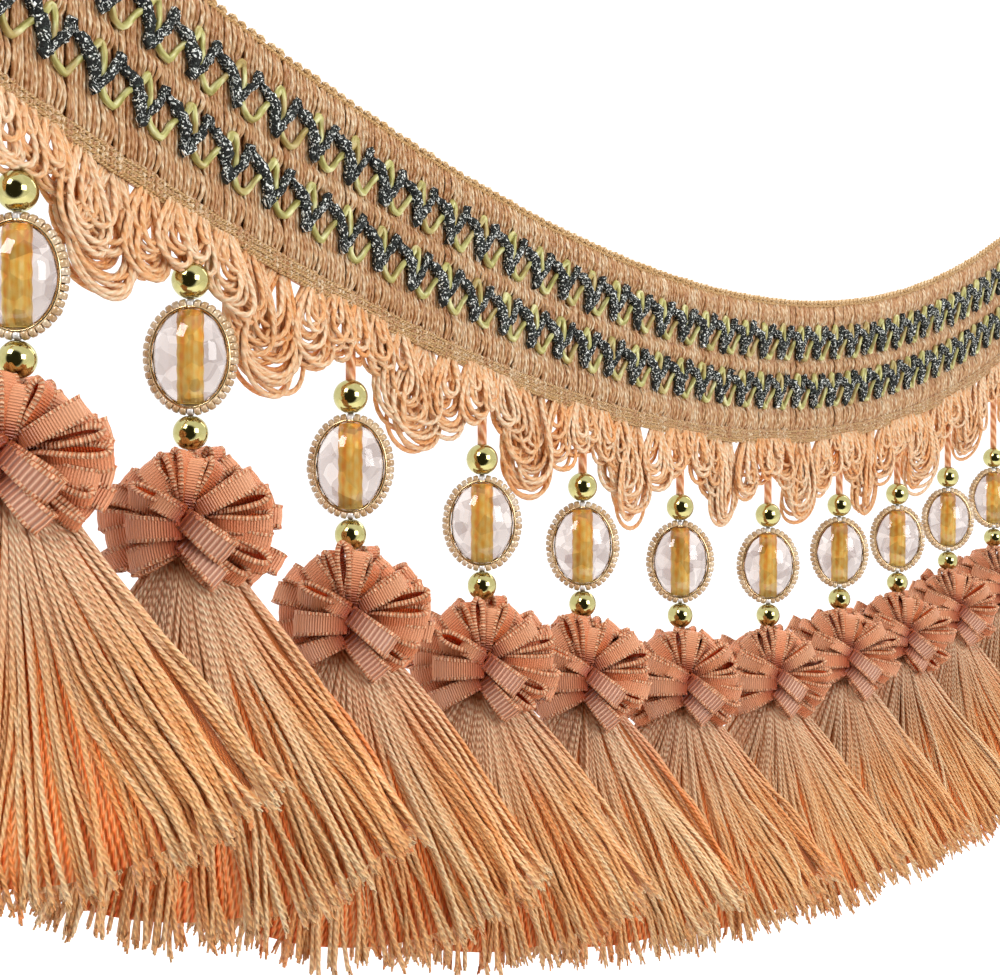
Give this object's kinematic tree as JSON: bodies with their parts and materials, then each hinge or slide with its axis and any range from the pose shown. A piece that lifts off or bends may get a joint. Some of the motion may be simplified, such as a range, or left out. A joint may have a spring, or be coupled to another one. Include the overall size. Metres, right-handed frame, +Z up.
{
  "type": "beaded tassel fringe trim",
  "caption": "Hanging length of curtain trim: a woven zigzag heading in a swag, with a loop fringe and beaded pendants that end in ribbon rosettes and long cut tassels.",
  "frame": {"origin": "on the heading's top edge at mid-length, in the heading's middle plane", "axes": "+X along the trim, +Y away from the viewer through the heading, +Z up"},
  "size_m": [0.493, 0.0839, 0.2721],
  "materials": {
    "braid": "glossy woven yarn floats with twill lines",
    "chenille": "dark green-black chenille cord with silver glitter",
    "lime_cord": "glossy lime cord",
    "loop_yarn": "glossy twisted yarn",
    "gold_ball": "polished gold plating",
    "clear_bead": "clear and faceted",
    "seed_bead": "pearly champagne seed beads",
    "amber_core": "amber yarn seen through the clear bead",
    "ribbon": "ribbed ribbon with a soft sheen",
    "skirt_yarn": "twisted glossy yarn with cut, frayed ends"
  },
  "bodies": {
    "root": {"heading": "braid", "loop_fringe": "loop_yarn", "top_bead_0": "gold_ball", "oval_bead_0": "clear_bead", "low_bead_0": "gold_ball", "rosette_0": "ribbon", "skirt_0": "skirt_yarn", "top_bead_1": "gold_ball", "oval_bead_1": "clear_bead", "low_bead_1": "gold_ball", "rosette_1": "ribbon", "skirt_1": "skirt_yarn", "top_bead_2": "gold_ball", "oval_bead_2": "clear_bead", "low_bead_2": "gold_ball", "rosette_2": "ribbon", "skirt_2": "skirt_yarn", "top_bead_3": "gold_ball", "oval_bead_3": "clear_bead", "low_bead_3": "gold_ball", "rosette_3": "ribbon", "skirt_3": "skirt_yarn", "top_bead_4": "gold_ball", "oval_bead_4": "clear_bead", "low_bead_4": "gold_ball", "rosette_4": "ribbon", "skirt_4": "skirt_yarn", "top_bead_5": "gold_ball", "oval_bead_5": "clear_bead", "low_bead_5": "gold_ball", "rosette_5": "ribbon", "skirt_5": "skirt_yarn", "top_bead_6": "gold_ball", "oval_bead_6": "clear_bead", "low_bead_6": "gold_ball", "rosette_6": "ribbon", "skirt_6": "skirt_yarn", "top_bead_7": "gold_ball", "oval_bead_7": "clear_bead", "low_bead_7": "gold_ball", "rosette_7": "ribbon", "skirt_7": "skirt_yarn", "top_bead_8": "gold_ball", "oval_bead_8": "clear_bead", "low_bead_8": "gold_ball", "rosette_8": "ribbon", "skirt_8": "skirt_yarn", "top_bead_9": "gold_ball", "oval_bead_9": "clear_bead", "low_bead_9": "gold_ball", "rosette_9": "ribbon", "skirt_9": "skirt_yarn", "top_bead_10": "gold_ball", "oval_bead_10": "clear_bead", "low_bead_10": "gold_ball", "rosette_10": "ribbon", "skirt_10": "skirt_yarn"}
  },
  "joints": []
}
